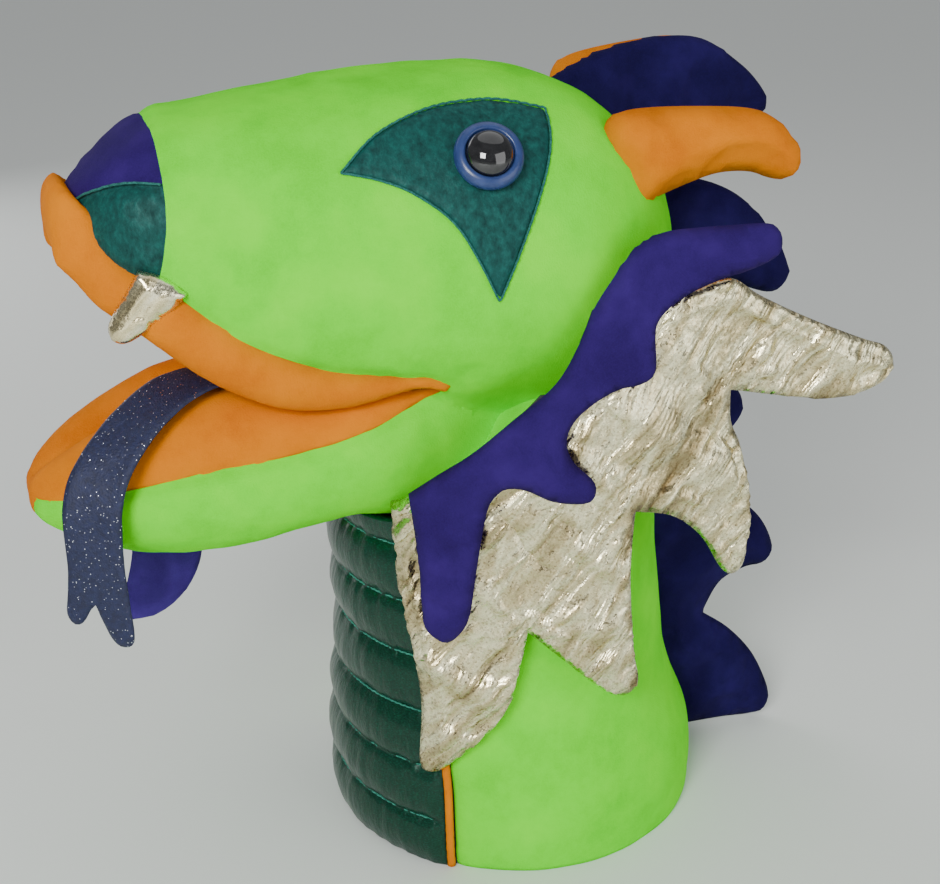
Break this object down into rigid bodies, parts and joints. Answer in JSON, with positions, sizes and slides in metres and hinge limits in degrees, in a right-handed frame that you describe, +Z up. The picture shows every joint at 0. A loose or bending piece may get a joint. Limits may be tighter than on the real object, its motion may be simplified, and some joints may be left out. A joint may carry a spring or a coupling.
{
  "type": "moving mouth hand puppet",
  "caption": "Plush dragon hand puppet with a hinged mouth, hanging forked tongue, horns, back fins, layered collar frills and an open arm sleeve it stands on.",
  "frame": {"origin": "middle of the overall box on the surface that the sleeve's hem stands on", "axes": "+Z up the sleeve, the muzzle points along -Y, the puppet's left side is +X"},
  "size_m": [0.2058, 0.37, 0.3626],
  "materials": {
    "lime_plush": "short pile velour",
    "orange_plush": "short pile velour",
    "purple_plush": "short pile velour",
    "teal_velvet": "shiny panne velvet",
    "green_satin": "metallic satin",
    "gold_lame": "wrinkled metallic lame",
    "glitter_cloth": "glitter knit",
    "blue_plastic": "satin",
    "black_plastic": "gloss",
    "lining_cloth": "plain woven",
    "stuffing": "polyester fill",
    "mouth_board": "fibreboard"
  },
  "bodies": {
    "neck": {"neck_sleeve": "lime_plush", "belly_panel": "green_satin", "piping_left": "orange_plush", "piping_right": "orange_plush", "sleeve_lining": "lining_cloth", "hem_band": "lining_cloth", "neck_ridge": "purple_plush", "gold_frill_left": "gold_lame", "gold_frill_right": "gold_lame", "purple_frill_left": "purple_plush", "purple_frill_right": "purple_plush"},
    "head": {"head_skin": "lime_plush", "nose_cap": "purple_plush", "nostril_patch_left": "teal_velvet", "nostril_patch_right": "teal_velvet", "upper_mouth_lining": "orange_plush", "upper_mouth_board": "mouth_board", "finger_pocket": "lining_cloth", "snout_stuffing": "stuffing", "crown_stuffing": "stuffing", "fang_left": "gold_lame", "fang_right": "gold_lame", "eye_patch_left": "teal_velvet", "eye_patch_right": "teal_velvet", "eye_rim_left": "blue_plastic", "eye_rim_right": "blue_plastic", "eye_left": "black_plastic", "eye_right": "black_plastic", "eye_washer_left": "black_plastic", "eye_washer_right": "black_plastic", "horn_left": "orange_plush", "horn_right": "orange_plush", "crest_fin": "purple_plush", "nape_fin": "purple_plush", "mouth_hinge_tape": "lining_cloth"},
    "jaw": {"jaw_skin": "lime_plush", "lower_mouth_lining": "orange_plush", "lower_mouth_board": "mouth_board", "thumb_pocket": "lining_cloth", "jaw_stuffing": "stuffing", "tongue_root": "glitter_cloth", "beard": "purple_plush"},
    "tongue": {"tongue_tip": "glitter_cloth"}
  },
  "joints": [
    {"name": "head_nod", "type": "hinge", "parent": "neck", "child": "head", "pos_m": [0, 0.025, 0.277], "axis": [-1, 0, 0], "range_deg": [0, 10]},
    {"name": "jaw_open", "type": "hinge", "parent": "head", "child": "jaw", "pos_m": [0, -0.025, 0.228], "axis": [1, 0, 0], "range_deg": [-22, 8]},
    {"name": "tongue_swing", "type": "hinge", "parent": "jaw", "child": "tongue", "pos_m": [0.0435, -0.165, 0.1975], "axis": [-0.5266, -0.8501, 0], "range_deg": [0, 45]}
  ]
}
